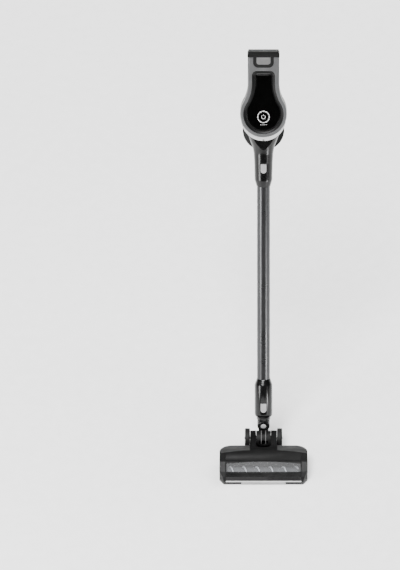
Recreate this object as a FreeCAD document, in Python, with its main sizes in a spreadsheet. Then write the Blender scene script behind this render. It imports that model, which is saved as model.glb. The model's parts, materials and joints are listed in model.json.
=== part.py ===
"""Cordless stick vacuum: handheld unit with dust cup and battery, wand, and powered floor head.

Frame: +Z up, the head's front faces -Y, the origin is on the sole, at the middle of its width.
The stick leans back from the swivel pivot, so its parts are drawn in a stick frame of their own
(z up the stick, -y its front face) and their Placement carries them to the pivot.
"""
import FreeCAD, Part
import Sketcher
import math
import os
import re

Vector = FreeCAD.Vector

# Driving dimensions, in millimetres and degrees.
DIMENSIONS = {
    # where the stick ends and how far it leans
    "pivot_y": 108, "pivot_z": 88, "recline": 28,
    # wand
    "tube_radius": 18, "tube_wall": 1.5, "tube_low": 92, "tube_high": 700, "fitting_high": 716,
    "collar_radius": 24.5, "collar_low": 19, "collar_shoulder": 105, "collar_high": 122,
    "socket_radius": 18.3, "spigot_radius": 15.5, "spigot_high": 88,
    # inlet neck of the handheld unit
    "neck_low": 664, "neck_shoulder": 682, "neck_radius": 24, "duct_radius": 16.4,
    "elbow_radius": 21, "bend_radius": 37, "bend_z": 745,
    # keyhole body: a round lower part that flows into an upper block
    "wall": 2.6, "front_y": -32, "split_y": 4, "rear_y": 46, "block_rear_y": 36,
    "ring_z": 868, "ring_radius": 63.5, "block_half": 42.7, "flare_radius": 99, "block_top": 1024,
    "bezel_radius": 54.8, "bezel_half": 31.2, "bezel_flare": 110, "bezel_top": 987,
    "bezel_corner": 13, "bezel_front": -29.6, "bezel_back": -25.6,
    "panel_z": 868, "panel_radius": 45.2, "panel_half": 21.4, "panel_flare": 120, "panel_top": 977,
    "panel_corner": 7, "panel_front": -31.4, "panel_back": -27,
    "trim_z": 855.6, "trim_radius": 60.8, "trim_back": -10,
    # motor
    "motor_z": 852, "motor_radius": 30, "motor_front": -14, "motor_rear": 28,
    "shaft_radius": 2, "bearing_radius": 6, "fan_radius": 24,
    # dust cup, its cyclone and its lid
    "cup_z": 812, "cup_radius": 55, "cup_wall": 2.2, "head_front": 46.4, "cup_front": 52.4,
    "cup_rear": 128, "lid_thick": 5, "mesh_z": 838, "mesh_radius": 21, "mesh_rear": 104,
    "hinge_y": 131, "hinge_z": 872, "hinge_pin": 1.5, "latch_y": 118, "latch_z": 751.5,
    # handle
    "handle_half": 15, "handle_round": 6,
    # battery
    "case_half": 37, "case_front": -20, "case_rear": 30, "case_low": 954, "case_wall": 2,
    "cell_radius": 9.1, "cell_length": 65, "cell_pitch": 19.5,
    "cap_half": 43.5, "cap_top_half": 40.5, "cap_high": 1036.5, "cap_front": -33, "cap_rear": 37,
    "tongue_half": 27.5, "tongue_low": 996, "tongue_round": 14, "tongue_back": -24.4,
    "jack_radius": 2.75, "jack_z": 1029.6, "jack_y": 2,
    # D-shaped wand buttons
    "latch_half": 8, "latch_tall": 25, "head_latch_top": 55.5,
    # running gaps
    "gap": 0.4, "pin_gap": 0.05,
    # swivel and tilt joints of the head
    "knuckle_radius": 17, "knuckle_half": 12, "ear_low": 12.4, "ear_high": 19.2,
    "swivel_pin": 4, "tilt_y": 96, "tilt_z": 34, "barrel_radius": 21, "barrel_half": 20.2,
    "trunnion_radius": 7,
    # floor head
    "head_half": 121.5, "head_front_y": -54, "head_rear_y": 54, "shell_wall": 2.5,
    "corner_radius": 35, "cap_line": 104, "cap_back": 22, "sole_top": 9.3,
    "recess_half": 21, "recess_y": 62, "arm_half": 37, "arm_rear": 114, "arm_top": 46.5,
    "arm_round": 3,
    "brush_y": -26, "brush_z": 18, "roll_radius": 14.6, "bristle_radius": 17.2, "brush_half": 98,
    "bristle_pitch": 36.5, "brush_axle": 3, "mouth_front": -50, "mouth_back": -3, "mouth_half": 99,
    "fan_motor_y": 24, "fan_motor_z": 26, "pulley_radius": 9, "drive_radius": 5.4,
    "belt_thick": 1.2, "wheel_y": 104, "wheel_radius": 27.5, "wheel_in": 37.9, "wheel_out": 51.9,
    "wheel_axle": 3, "caster_x": 88, "caster_y": 8, "caster_radius": 6,
}

doc = FreeCAD.newDocument("stick_vacuum")
dims = doc.addObject("Spreadsheet::Sheet", "dims")
for row, (alias, value) in enumerate(DIMENSIONS.items(), start=1):
    dims.set(f"A{row}", alias)
    dims.set(f"B{row}", str(value))
    dims.setAlias(f"B{row}", alias)
doc.recompute()

STICK = "placement(vector(0; dims.pivot_y; dims.pivot_z); rotation(vector(1; 0; 0); -dims.recline))"
PIVOT = "placement(vector(0; dims.pivot_y; dims.pivot_z); rotation(vector(1; 0; 0); 0))"
TILT = "placement(vector(0; dims.tilt_y; dims.tilt_z); rotation(vector(1; 0; 0); 0))"
PLANES = {"x": "YZ_Plane", "y": "XZ_Plane", "z": "XY_Plane"}
AXIS_TURN = {
    "x": FreeCAD.Rotation(Vector(0, 1, 0), 90),
    "y": FreeCAD.Rotation(Vector(1, 0, 0), -90),
    "z": FreeCAD.Rotation(),
}
parts = []


def formula(text):
    """The expression for a text that writes each driving dimension by its plain name."""
    return re.sub(r"[a-z_]+", lambda m: f"dims.{m[0]}" if m[0] in DIMENSIONS else m[0], str(text))


def bind(obj, **sizes):
    for prop, text in sizes.items():
        obj.setExpression(prop.replace("__", "."), formula(text))


def size_of(obj, text):
    """The number that a formula gives, for a sketch's first guess."""
    return float(obj.evalExpression(formula(text)))


def part(node, obj, frame=None):
    """Name a finished sub-part and put it in its frame, with a group round a lone primitive."""
    if frame and obj.TypeId in ("Part::Box", "Part::Cylinder"):
        obj = group(obj)
    obj.Label = node
    if frame:
        obj.setExpression("Placement", frame)
    parts.append(obj)
    return obj


# ---- primitives ------------------------------------------------------------------------------

def box(xs, ys, zs):
    obj = doc.addObject("Part::Box", "box")
    bind(obj, Length=f"({xs[1]}) - ({xs[0]})", Width=f"({ys[1]}) - ({ys[0]})",
         Height=f"({zs[1]}) - ({zs[0]})", Placement__Base__x=xs[0], Placement__Base__y=ys[0],
         Placement__Base__z=zs[0])
    return obj


def cylinder(axis, radius, centre, low, high):
    """A cylinder along x, y or z; centre is its place on the other two axes, in X, Y, Z order."""
    obj = doc.addObject("Part::Cylinder", "cylinder")
    obj.Placement.Rotation = AXIS_TURN[axis]
    place = dict(zip([a for a in "xyz" if a != axis], centre))
    place[axis] = low
    bind(obj, Radius=radius, Height=f"({high}) - ({low})", Placement__Base__x=place["x"],
         Placement__Base__y=place["y"], Placement__Base__z=place["z"])
    return obj


def cut(base, *tools):
    obj = doc.addObject("Part::Cut", "cut")
    obj.Base = base
    obj.Tool = tools[0] if len(tools) == 1 else fuse(*tools)
    return obj


def fuse(*shapes):
    obj = doc.addObject("Part::MultiFuse", "fuse")
    obj.Shapes = list(shapes)
    return obj


def common(*shapes):
    obj = doc.addObject("Part::MultiCommon", "common")
    obj.Shapes = list(shapes)
    return obj


def group(*shapes):
    """Identical loose pieces that share one node."""
    obj = doc.addObject("Part::Compound", "group")
    obj.Links = list(shapes)
    return obj


def turned_about(obj, degrees, height):
    """Turn an object drawn about the Y axis, and lift it to a centre at that height."""
    moved = doc.addObject("Part::Compound", "turned")
    moved.Links = [obj]
    moved.Placement.Rotation = FreeCAD.Rotation(Vector(0, 1, 0), degrees)
    bind(moved, Placement__Base__z=height)
    return moved


def rounded(base, radius, wanted):
    """Fillet the edges whose middle point satisfies wanted(point, edge)."""
    doc.recompute()
    obj = doc.addObject("Part::Fillet", "rounded")
    obj.Base = base
    chosen = []
    for number, edge in enumerate(base.Shape.Edges, start=1):
        middle = edge.valueAt((edge.FirstParameter + edge.LastParameter) / 2)
        if wanted(middle, edge):
            chosen.append((number, radius, radius))
    obj.Edges = chosen
    return obj


# ---- sketches --------------------------------------------------------------------------------

def sketch(body, axis, path, depth="0"):
    """A closed outline: each step is (u, v), or (u, v, centre u, centre v, turn) for an arc
    that arrives there, counter-clockwise for a turn of 1 and clockwise for -1."""
    plane = next(o for o in body.Origin.OriginFeatures if o.Role == PLANES[axis])
    sk = body.newObject("Sketcher::SketchObject", "outline")
    sk.AttachmentSupport = [(plane, "")]
    sk.MapMode = "FlatFace"
    bind(sk, AttachmentOffset__Base__z=f"-({depth})" if axis == "y" else depth)
    spots = [(size_of(sk, step[0]), size_of(sk, step[1])) for step in path]
    count = len(path)
    ends = []
    for index in range(count):
        after = (index + 1) % count
        (u, v), (p, q) = spots[index], spots[after]
        step = path[after]
        if len(step) == 2:
            sk.addGeometry(Part.LineSegment(Vector(u, v, 0), Vector(p, q, 0)), False)
            ends.append((1, 2))
            continue
        cu, cv = size_of(sk, step[2]), size_of(sk, step[3])
        begin, end = math.atan2(v - cv, u - cu), math.atan2(q - cv, p - cu)
        if step[4] < 0:
            begin, end = end, begin
        if end <= begin:
            end += 2 * math.pi
        circle = Part.Circle(Vector(cu, cv, 0), Vector(0, 0, 1), math.hypot(u - cu, v - cv))
        sk.addGeometry(Part.ArcOfCircle(circle, begin, end), False)
        ends.append((1, 2) if step[4] > 0 else (2, 1))
    for index in range(count):
        after = (index + 1) % count
        sk.addConstraint(Sketcher.Constraint("Coincident", index, ends[index][1], after,
                                             ends[after][0]))
    for index, step in enumerate(path):
        for kind, text, value in zip(("DistanceX", "DistanceY"), step[:2], spots[index]):
            number = sk.addConstraint(
                Sketcher.Constraint(kind, -1, 1, index, ends[index][0], value))
            sk.setExpression(f"Constraints[{number}]", formula(text))
        if len(step) == 5:
            before = (index - 1) % count
            (u, v), (p, q) = spots[before], spots[index]
            kind, text = ("DistanceY", step[3]) if abs(p - u) > abs(q - v) else (
                "DistanceX", step[2])
            number = sk.addConstraint(
                Sketcher.Constraint(kind, -1, 1, before, 3, size_of(sk, text)))
            sk.setExpression(f"Constraints[{number}]", formula(text))
    return sk


def prism(axis, path, low, high):
    """An outline padded from low to high along an axis."""
    body = doc.addObject("PartDesign::Body", "prism")
    sk = sketch(body, axis, path, high if axis == "y" else low)
    pad = body.newObject("PartDesign::Pad", "pad")
    pad.Profile = sk
    bind(pad, Length=f"({high}) - ({low})")
    return body


def turned(path):
    """An outline in the XZ plane, revolved about Z."""
    body = doc.addObject("PartDesign::Body", "turned")
    sk = sketch(body, "y", path)
    spin = body.newObject("PartDesign::Revolution", "revolution")
    spin.Profile = sk
    spin.ReferenceAxis = (sk, ["V_Axis"])
    spin.Angle = 360
    return body


def keyhole(centre, radius, half, flare, top, corner="0"):
    """A circle that flows through two concave arcs into a block with straight sides."""
    rise = f"sqrt((({radius}) + ({flare}))^2 - (({half}) + ({flare}))^2)"
    share = f"({radius}) / (({radius}) + ({flare}))"
    side, level = f"(({half}) + ({flare}))", f"({centre} + {rise})"
    touch_x, touch_z = f"({share} * {side})", f"({centre} + {share} * {rise})"
    path = [(half, top)]
    if corner == "0":
        path.append((f"-({half})", top))
    else:
        inner, shoulder = f"(({half}) - ({corner}))", f"(({top}) - ({corner}))"
        path = [(half, shoulder), (inner, top, inner, shoulder, 1), (f"-{inner}", top),
                (f"-({half})", shoulder, f"-{inner}", shoulder, 1)]
    path += [(f"-({half})", level),
             (f"-{touch_x}", touch_z, f"-{side}", level, -1),
             (touch_x, touch_z, "0", centre, 1),
             (half, level, side, level, -1)]
    return path


def body_outline(inset="0", top="block_top"):
    return keyhole("ring_z", f"ring_radius - {inset}", f"block_half - {inset}",
                   f"flare_radius + {inset}", top)


def bezel_outline():
    return keyhole("ring_z", "bezel_radius", "bezel_half", "bezel_flare", "bezel_top",
                   "bezel_corner")


def panel_outline(inset="0"):
    return keyhole("panel_z", f"panel_radius - {inset}", f"panel_half - {inset}",
                   f"panel_flare + {inset}", f"panel_top - {inset}", "panel_corner")


def d_outline(top, spare="0"):
    """A button that is flat across its top and round below."""
    half = f"(latch_half + {spare})"
    level = f"({top} - latch_tall + latch_half)"
    return [(half, f"{top} + {spare}"), (f"-{half}", f"{top} + {spare}"), (f"-{half}", level),
            (half, level, "0", level, 1)]


def tongue_outline(spare="0", top="block_top + 2"):
    half, low = f"(tongue_half + {spare})", f"(tongue_low - {spare})"
    inner, shoulder = f"({half} - tongue_round)", f"({low} + tongue_round)"
    return [(half, top), (f"-{half}", top), (f"-{half}", shoulder),
            (f"-{inner}", low, f"-{inner}", shoulder, 1), (inner, low),
            (half, shoulder, inner, shoulder, 1)]


# ---- handheld unit: shells and front panel ---------------------------------------------------

BODY_SCREWS = [("38", "905"), ("-38", "905")]


def front_housing():
    outer = rounded(prism("y", body_outline(), "front_y", "split_y"), 4.5,
                    lambda p, e: abs(p.y - DIMENSIONS["front_y"]) < 0.01 and p.z < 1023)
    hollow = prism("y", body_outline("wall", "block_top + 5"), "front_y + wall", "split_y + 1")
    window = prism("y", bezel_outline(), "front_y - 1", "front_y + wall + 1")
    notch = prism("y", tongue_outline("gap", "block_top + 5"), "front_y - 1", "tongue_back + gap")
    part("front_housing", cut(outer, hollow, window, notch), STICK)


def rear_housing():
    outer = fuse(prism("y", body_outline(), "split_y", "block_rear_y"),
                 rounded(cylinder("y", "ring_radius", ("0", "ring_z"), "split_y + 1", "rear_y"), 4,
                         lambda p, e: abs(p.y - DIMENSIONS["rear_y"]) < 0.01))
    hollow = prism("y", body_outline("wall", "block_top + 5"), "split_y - 1",
                   "block_rear_y - wall")
    round_hollow = cylinder("y", "ring_radius - wall", ("0", "ring_z"), "split_y + 1",
                            "rear_y - wall")
    intake = cylinder("y", "mesh_radius - 1", ("0", "mesh_z"), "rear_y - 6", "rear_y + 5")
    tools = [hollow, round_hollow, intake]
    for side in (0, 180):
        for step in range(-3, 4):
            slot = box(("56", "68"), ("12", "34"), ("-1.6", "1.6"))
            tools.append(turned_about(slot, side + 11 * step, "ring_z"))
    for x, z in BODY_SCREWS:
        tools.append(cylinder("y", "3.3", (x, z), "rear_y - 1.6", "rear_y + 1"))
        tools.append(cylinder("y", "1.7", (x, z), "rear_y - 6", "rear_y + 1"))
    part("rear_housing", cut(outer, *tools), STICK)


def front_details():
    ring = cut(prism("y", bezel_outline(), "bezel_front", "bezel_back"),
               prism("y", panel_outline(), "bezel_front - 1", "bezel_back + 1"))
    part("panel_bezel", ring, STICK)
    part("front_panel", prism("y", panel_outline(), "panel_front", "panel_back"), STICK)
    crescent = cut(cylinder("y", "trim_radius", ("0", "trim_z"), "front_y + 1.2", "trim_back"),
                   cylinder("y", "ring_radius", ("0", "ring_z"), "front_y - 1", "trim_back + 1"))
    part("chrome_trim", crescent, STICK)
    chips = [box((x, f"{x} + 8"), ("-21.5", "-19.9"), (z, f"{z} + 9"))
             for x, z in (("-16", "850"), ("4", "862"), ("-14", "884"), ("3", "900"))]
    board = box(("-20", "20"), ("-23", "-21.4"), ("838", "948"))
    part("control_board", fuse(board, *chips), STICK)
    screws = []
    for x, z in BODY_SCREWS:
        head = cylinder("y", "3.2", (x, z), "rear_y - 1.6", "rear_y - 0.2")
        shank = cylinder("y", "1.6", (x, z), "rear_y - 14", "rear_y - 1")
        slot = box((f"{x} - 0.4", f"{x} + 0.4"), ("rear_y - 0.8", "rear_y + 1"),
                   (f"{z} - 2.2", f"{z} + 2.2"))
        screws.append(cut(fuse(head, shank), slot))
    part("body_screws", group(*screws), STICK)


def inlet_neck():
    outline = [("socket_radius", "neck_low"), ("18.9", "neck_low"),
               ("neck_radius", "neck_shoulder"), ("24.2", "690"), ("25.2", "729"),
               ("26.7", "757"), ("28.8", "768"), ("31", "777"), ("37", "792"), ("42", "808"),
               ("0", "808"), ("0", "bend_z"), ("duct_radius", "bend_z"), ("duct_radius", "718"),
               ("socket_radius", "718")]
    hollow = [("0", "722"), ("22.4", "722"), ("24.1", "757"), ("26.2", "768"), ("28.4", "777"),
              ("34.4", "792"), ("40", "809"), ("0", "809")]
    clip = box(("-60", "60"), ("-29", "44"), ("650", "810"))
    funnel = cut(common(turned(outline), clip),
                 common(turned(hollow), box(("-60", "60"), ("-26.4", "41.4"), ("700", "812"))))

    def bend(radius, start):
        ring = doc.addObject("Part::Torus", "bend")
        ring.Angle3 = 90
        ring.Placement.Rotation = FreeCAD.Rotation(
            Vector(0, -1, 0), Vector(0, 0, 1), Vector(-1, 0, 0), "ZXY")
        bind(ring, Radius1="bend_radius", Radius2=radius, Placement__Base__y="bend_radius",
             Placement__Base__z="bend_z")
        run = cylinder("y", radius, ("0", "bend_z + bend_radius"), "bend_radius", start)
        return [ring, run]

    liner = cylinder("z", "duct_radius + 2.4", ("0", "0"), "716", "bend_z")
    outside = fuse(funnel, liner, *bend("elbow_radius", "head_front"))
    housing = cylinder("y", "ring_radius + 0.2", ("0", "ring_z"), "front_y - 5", "rear_y + 0.2")
    trim = cylinder("y", "trim_radius + 0.2", ("0", "trim_z"), "front_y - 5", "trim_back + 0.2")
    pocket = prism("y", d_outline("729", "gap"), "-35", "-20")
    bore = cylinder("z", "duct_radius", ("0", "0"), "700", "bend_z")
    air = bend("duct_radius", "head_front + 1")
    part("inlet_neck", cut(outside, housing, trim, pocket, bore, *air), STICK)


def wand_button(node, top, front):
    plate = prism("y", d_outline(top), front, f"{front} + 3")
    part(node, plate, STICK)


# ---- handheld unit: motor --------------------------------------------------------------------

def motor():
    axis = ("0", "motor_z")
    can = cut(cylinder("y", "motor_radius", axis, "motor_front", "motor_rear"),
              cylinder("y", "motor_radius - 2.5", axis, "motor_front + 4", "motor_rear - 4"),
              cylinder("y", "bearing_radius", axis, "motor_front - 1", "motor_rear + 1"))
    part("motor_can", can, STICK)
    rings = []
    for low in ("motor_front", "motor_rear - 4"):
        rings.append(cut(cylinder("y", "bearing_radius", axis, low, f"{low} + 4"),
                         cylinder("y", "shaft_radius + pin_gap", axis, f"{low} - 1", f"{low} + 5")))
    part("motor_bearings", group(*rings), STICK)
    shaft = fuse(cylinder("y", "shaft_radius", axis, "motor_front - 2", "motor_rear + 14"),
                 cylinder("y", "14", axis, "motor_front + 8", "motor_rear - 8"))
    part("motor_rotor", shaft, STICK)
    blades = []
    for turn in range(9):
        blade = box(("5", "fan_radius - 0.5"), ("motor_rear + 5", "motor_rear + 12"), ("-0.6", "0.6"))
        blades.append(turned_about(blade, 40 * turn, "motor_z"))
    hub = cylinder("y", "8", axis, "motor_rear + 3.5", "motor_rear + 13")
    disc = cylinder("y", "fan_radius", axis, "motor_rear + 3.5", "motor_rear + 5.5")
    bore = cylinder("y", "shaft_radius", axis, "motor_rear + 2", "motor_rear + 15")
    part("impeller", cut(fuse(hub, disc, *blades), bore), STICK)


# ---- handheld unit: dust cup -----------------------------------------------------------------

def dust_cup():
    centre = ("0", "cup_z")
    head = cut(cylinder("y", "cup_radius + 2", centre, "head_front", "cup_front"),
               cylinder("y", "duct_radius", ("0", "bend_z + bend_radius"), "40", "60"),
               cylinder("y", "mesh_radius - 1", ("0", "mesh_z"), "40", "60"))
    part("cyclone_head", head, STICK)
    lugs = []
    for low, high in (("-14", "-8"), ("8", "14")):
        lugs.append(cylinder("x", "4.2", ("hinge_y", "hinge_z"), low, high))
        lugs.append(box((low, high), ("hinge_y - 13", "hinge_y"), ("cup_z + 52.5", "hinge_z")))
    for low, high in (("-11", "-8.5"), ("8.5", "11")):
        lugs.append(box((low, high), ("latch_y - 4", "latch_y + 4"), ("latch_z - 3", "cup_z - 53.4")))
    shell = cut(fuse(cylinder("y", "cup_radius", centre, "cup_front", "cup_rear"), *lugs),
                cylinder("y", "cup_radius - cup_wall", centre, "cup_front - 1", "cup_rear + 20"),
                cylinder("x", "hinge_pin", ("hinge_y", "hinge_z"), "-20", "20"),
                cylinder("x", "hinge_pin + pin_gap", ("latch_y", "latch_z"), "-20", "20"),
                box(("-20", "20"), ("cup_rear", "cup_rear + 12"), ("cup_z", "hinge_z - 4.3")))
    part("dust_cup", shell, STICK)
    part("lid_hinge_pin", cylinder("x", "hinge_pin", ("hinge_y", "hinge_z"), "-14.6", "14.6"), STICK)
    mesh_axis = ("0", "mesh_z")
    skirt = doc.addObject("Part::Cone", "skirt")
    skirt.Placement.Rotation = AXIS_TURN["y"]
    bind(skirt, Radius1="mesh_radius", Radius2="mesh_radius + 4", Height="8",
         Placement__Base__y="mesh_rear - 10", Placement__Base__z="mesh_z")
    mesh = cut(fuse(cylinder("y", "mesh_radius", mesh_axis, "cup_front", "mesh_rear"), skirt),
               cylinder("y", "mesh_radius - 1.2", mesh_axis, "cup_front - 1", "mesh_rear - 2"))
    part("cyclone_mesh", mesh, STICK)
    pleats = cut(cylinder("y", "15", mesh_axis, "cup_front", "mesh_rear - 6"),
                 cylinder("y", "9", mesh_axis, "cup_front - 1", "mesh_rear - 10"))
    part("hepa_filter", pleats, STICK)


def cup_lid():
    centre = ("0", "cup_z")
    knuckle = fuse(cylinder("y", "cup_radius + 0.3", centre, "cup_rear + gap",
                            "cup_rear + gap + lid_thick"),
                   box(("-7.6", "7.6"), ("cup_rear + gap", "cup_rear + gap + lid_thick"),
                       ("cup_z + 50", "hinge_z")),
                   cylinder("x", "4.2", ("hinge_y", "hinge_z"), "-7.6", "7.6"))
    bore = cylinder("x", "hinge_pin + pin_gap", ("hinge_y", "hinge_z"), "-9", "9")
    part("cup_lid", cut(knuckle, bore), STICK)
    seal = cut(cylinder("y", "cup_radius - 2.9", centre, "cup_rear - 2", "cup_rear + gap"),
               cylinder("y", "cup_radius - 5.5", centre, "cup_rear - 3", "cup_rear + 2"))
    part("lid_seal", seal, STICK)
    lever = fuse(box(("-7.8", "7.8"), ("latch_y - 12", "cup_rear + gap + lid_thick"),
                     ("latch_z - 2", "latch_z + 2")),
                 cylinder("x", "3", ("latch_y", "latch_z"), "-7.8", "7.8"),
                 cylinder("x", "hinge_pin", ("latch_y", "latch_z"), "-11", "11"))
    part("cup_latch", lever, STICK)


# ---- handheld unit: handle -------------------------------------------------------------------

def handle():
    outline = [("block_rear_y", "1020"), ("block_rear_y", "932"), ("rear_y", "932"),
               ("rear_y", "877"), ("100", "879"), ("114", "889", "100", "893", 1),
               ("120.5", "990"), ("100", "1015", "100", "994", 1)]
    gap = [("86", "992"), ("52", "994"), ("52", "905"), ("84", "908")]
    solid = cut(prism("x", outline, "-handle_half", "handle_half"),
                prism("x", gap, "-handle_half - 1", "handle_half + 1"))
    inner = [("block_rear_y + 3", "1016"), ("block_rear_y + 3", "935"), ("rear_y + 3", "929"),
             ("rear_y + 3", "881"), ("100", "883"), ("111", "893"), ("112", "906"),
             ("115.5", "980"), ("112", "1000"), ("99", "1011")]
    rim = [("89.5", "996"), ("48.5", "998"), ("48.5", "901"), ("87.5", "904.5")]
    hollow = cut(prism("x", inner, "-handle_half + 3", "handle_half - 3"),
                 prism("x", rim, "-handle_half", "handle_half"))
    sides = cut(rounded(solid, DIMENSIONS["handle_round"],
                        lambda p, e: abs(abs(p.x) - DIMENSIONS["handle_half"]) < 0.01 and p.y > 54),
                hollow)
    pocket = box(("-7.4", "7.4"), ("78", "103"), ("951.6", "985.4"))
    key_pocket = box(("-7.4", "7.4"), ("65.6", "84.4"), ("1013", "1025"))
    grip_slot = prism("x", grip_outline("0"), "-9.5", "9.5")
    for node, low, high in (("handle_left", "-handle_half - 1", "0"),
                            ("handle_right", "0", "handle_half + 1")):
        half = common(sides, box((low, high), ("30", "130"), ("870", "1030")))
        part(node, cut(half, pocket, key_pocket, grip_slot), STICK)
    part("grip_insert", prism("x", grip_outline("1.2"), "-9.5", "9.5"), STICK)
    trigger = fuse(box(("-7", "7"), ("80.5", "97"), ("952", "985")),
                   cylinder("x", "5", ("80.5", "957"), "-7", "7"),
                   cylinder("x", "5", ("80.5", "980"), "-7", "7"))
    part("trigger", trigger, STICK)
    part("mode_button", box(("-7", "7"), ("66", "84"), ("1015", "1020")), STICK)


def grip_outline(proud):
    """A strip along the back of the grip, a little proud of it."""
    return [("113.6", "915"), (f"116.4 + {proud}", "915"), (f"120.1 + {proud}", "982"),
            ("117.3", "982")]


# ---- battery ---------------------------------------------------------------------------------

def battery():
    case = cut(box(("-case_half", "case_half"), ("case_front", "case_rear"),
                   ("case_low", "block_top + gap")),
               box(("-case_half + case_wall", "case_half - case_wall"),
                   ("case_front + case_wall", "case_rear - case_wall"),
                   ("case_low + case_wall", "block_top + 5")))
    part("battery_case", case, STICK)
    cells = []
    for column in (-1, 0, 1):
        for line in (-0.5, 0.5):
            spot = (f"{column} * cell_pitch", f"5 + {line} * cell_pitch")
            body = cylinder("z", "cell_radius", spot, "case_low + case_wall",
                            "case_low + case_wall + cell_length")
            nub = cylinder("z", "3", spot, "case_low + case_wall + cell_length - 1",
                           "case_low + case_wall + cell_length + 1")
            cells.append(fuse(body, nub))
    part("battery_cells", group(*cells), STICK)
    low = "block_top + gap"
    profile = [("cap_half", low), ("cap_half", "cap_high - 6"), ("cap_top_half", "cap_high"),
               ("-cap_top_half", "cap_high"), ("-cap_half", "cap_high - 6"), ("-cap_half", low)]
    slope = [("cap_front", low), ("cap_rear", low), ("cap_rear", "cap_high"),
             ("cap_front + 22", "cap_high"), ("cap_front", "cap_high - 8")]
    lump = rounded(common(prism("y", profile, "cap_front", "cap_rear"),
                          prism("x", slope, "-cap_half - 1", "cap_half + 1")), 1.6,
                   lambda p, e: p.z > DIMENSIONS["block_top"] + 1 and p.y > 36)
    tongue = prism("y", tongue_outline(), "front_y + 0.2", "tongue_back")
    pocket = prism("y", battery_button_outline("gap"), "front_y - 5", "-26.6")
    jack_hole = cylinder("x", "jack_radius + 1", ("jack_y", "jack_z"), "31", "50")
    part("battery_cap", cut(fuse(lump, tongue), pocket, jack_hole), STICK)
    jack = cut(cylinder("x", "jack_radius + 1", ("jack_y", "jack_z"), "31", "41.2"),
               cylinder("x", "jack_radius", ("jack_y", "jack_z"), "33", "45"))
    part("charge_jack", jack, STICK)
    part("battery_button", prism("y", battery_button_outline(), "-32.4", "-29.6"), STICK)


def battery_button_outline(spare="0"):
    half, low, top = f"(19 + {spare})", f"(1004.5 - {spare})", f"1023.6 + {spare}"
    inner, shoulder = f"({half} - 7)", f"({low} + 7)"
    return [(half, top), (f"-{half}", top), (f"-{half}", shoulder),
            (f"-{inner}", low, f"-{inner}", shoulder, 1), (inner, low),
            (half, shoulder, inner, shoulder, 1)]


# ---- wand ------------------------------------------------------------------------------------

def wand():
    def pipe(outer, inner, low, high):
        return turned([(inner, low), (outer, low), (outer, high), (inner, high)])

    part("wand_tube", pipe("tube_radius", "tube_radius - tube_wall", "tube_low", "tube_high"), STICK)
    part("wand_top_fitting", pipe("tube_radius", "spigot_radius", "tube_high", "fitting_high"), STICK)
    collar = turned([("socket_radius", "collar_low"), ("collar_radius - 1", "collar_low"),
                     ("collar_radius", "collar_low + 4"), ("collar_radius", "collar_shoulder"),
                     ("18.7", "collar_high"), ("tube_radius", "collar_high"),
                     ("tube_radius", "tube_low"), ("socket_radius", "tube_low")])
    pocket = prism("y", d_outline("head_latch_top", "gap"), "-35", "-19.9")
    part("wand_collar", cut(collar, pocket), STICK)


# ---- swivel and tilt joints ------------------------------------------------------------------

def swivel():
    lean = "placement(vector(0; 0; 0); rotation(vector(1; 0; 0); -dims.recline))"
    neck = turned([("11", "6"), ("15.8", "6"), ("16.5", "8"), ("24", "collar_low - gap"),
                   ("tube_radius", "collar_low - gap"), ("tube_radius", "spigot_high"),
                   ("spigot_radius", "spigot_high"), ("spigot_radius", "30"), ("11", "20")])
    neck.setExpression("Placement", lean)
    ears = [cylinder("y", "knuckle_radius + 0.3", ("0", "0"), low, high)
            for low, high in (("-ear_high", "-ear_low"), ("ear_low", "ear_high"))]
    yoke = cut(cylinder("z", "ear_high - 0.2", ("0", "0"), "12.5", "26"),
               cylinder("z", "11", ("3", "3"), "5", "30"))
    bore = cylinder("z", "11", ("0", "0"), "-5", "28")
    bore.setExpression("Placement", lean)
    below_collar = turned([("0", "-40"), ("30", "-40"), ("30", "collar_low - gap"),
                           ("tube_radius", "collar_low - gap"), ("tube_radius", "40"), ("0", "40")])
    below_collar.setExpression("Placement", lean)
    clearance = cylinder("y", "knuckle_radius + 0.7", ("0", "0"), "-ear_low", "ear_low")
    pin_hole = cylinder("y", "swivel_pin", ("0", "0"), "-ear_high - 1", "ear_high + 1")
    fork = common(fuse(yoke, *ears), below_collar)
    part("connector_neck", cut(fuse(neck, fork), bore, clearance, pin_hole), PIVOT)
    disc = rounded(cylinder("y", "knuckle_radius - 0.1", ("0", "0"), "-ear_high - 3.2",
                            "-ear_high"), 1.2, lambda p, e: p.y < -20 and e.Length > 20)
    part("pivot_cap", disc, PIVOT)
    pins = [cylinder("y", "swivel_pin", ("0", "0"), low, high)
            for low, high in (("-ear_high", "-8.4"), ("8.4", "ear_high"))]
    part("pivot_pins", group(*pins), PIVOT)


def elbow():
    rise, back = "(pivot_z - tilt_z)", "(pivot_y - tilt_y)"
    shank = rounded(prism("x", [("-12", "0"), (f"{back} - 11.7", f"{rise} - 18.5"),
                                (f"{back} - 11.7", rise), (f"{back} + 11.7", rise),
                                (f"{back} + 11.7", f"{rise} - 18.5"), ("16", "0")],
                          "-13.5", "13.5"), 4,
                    lambda p, e: abs(abs(p.x) - 13.5) < 0.01 and 5 < p.z < 34)
    knuckle = cylinder("y", "knuckle_radius", ("0", rise), f"{back} - knuckle_half",
                       f"{back} + knuckle_half")
    barrel = cylinder("x", "barrel_radius", ("0", "0"), "-barrel_half", "barrel_half")
    trunnions = cylinder("x", "trunnion_radius", ("0", "0"), "-23.4", "23.4")
    duct = cylinder("z", "7.8", ("0", "9.4"), "4", f"{rise} + 20")
    hollow = cylinder("x", "barrel_radius - 3", ("0", "0"), "-barrel_half + 3", "barrel_half - 3")
    inlet = box(("-12", "12"), ("-26", "0"), ("-9", "9"))
    pins = cylinder("y", "swivel_pin + pin_gap", ("0", rise), f"{back} - 20", f"{back} + 20")
    part("elbow_duct", cut(fuse(shank, knuckle, barrel, trunnions), duct, hollow, inlet, pins),
         TILT)


# ---- floor head ------------------------------------------------------------------------------

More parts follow.
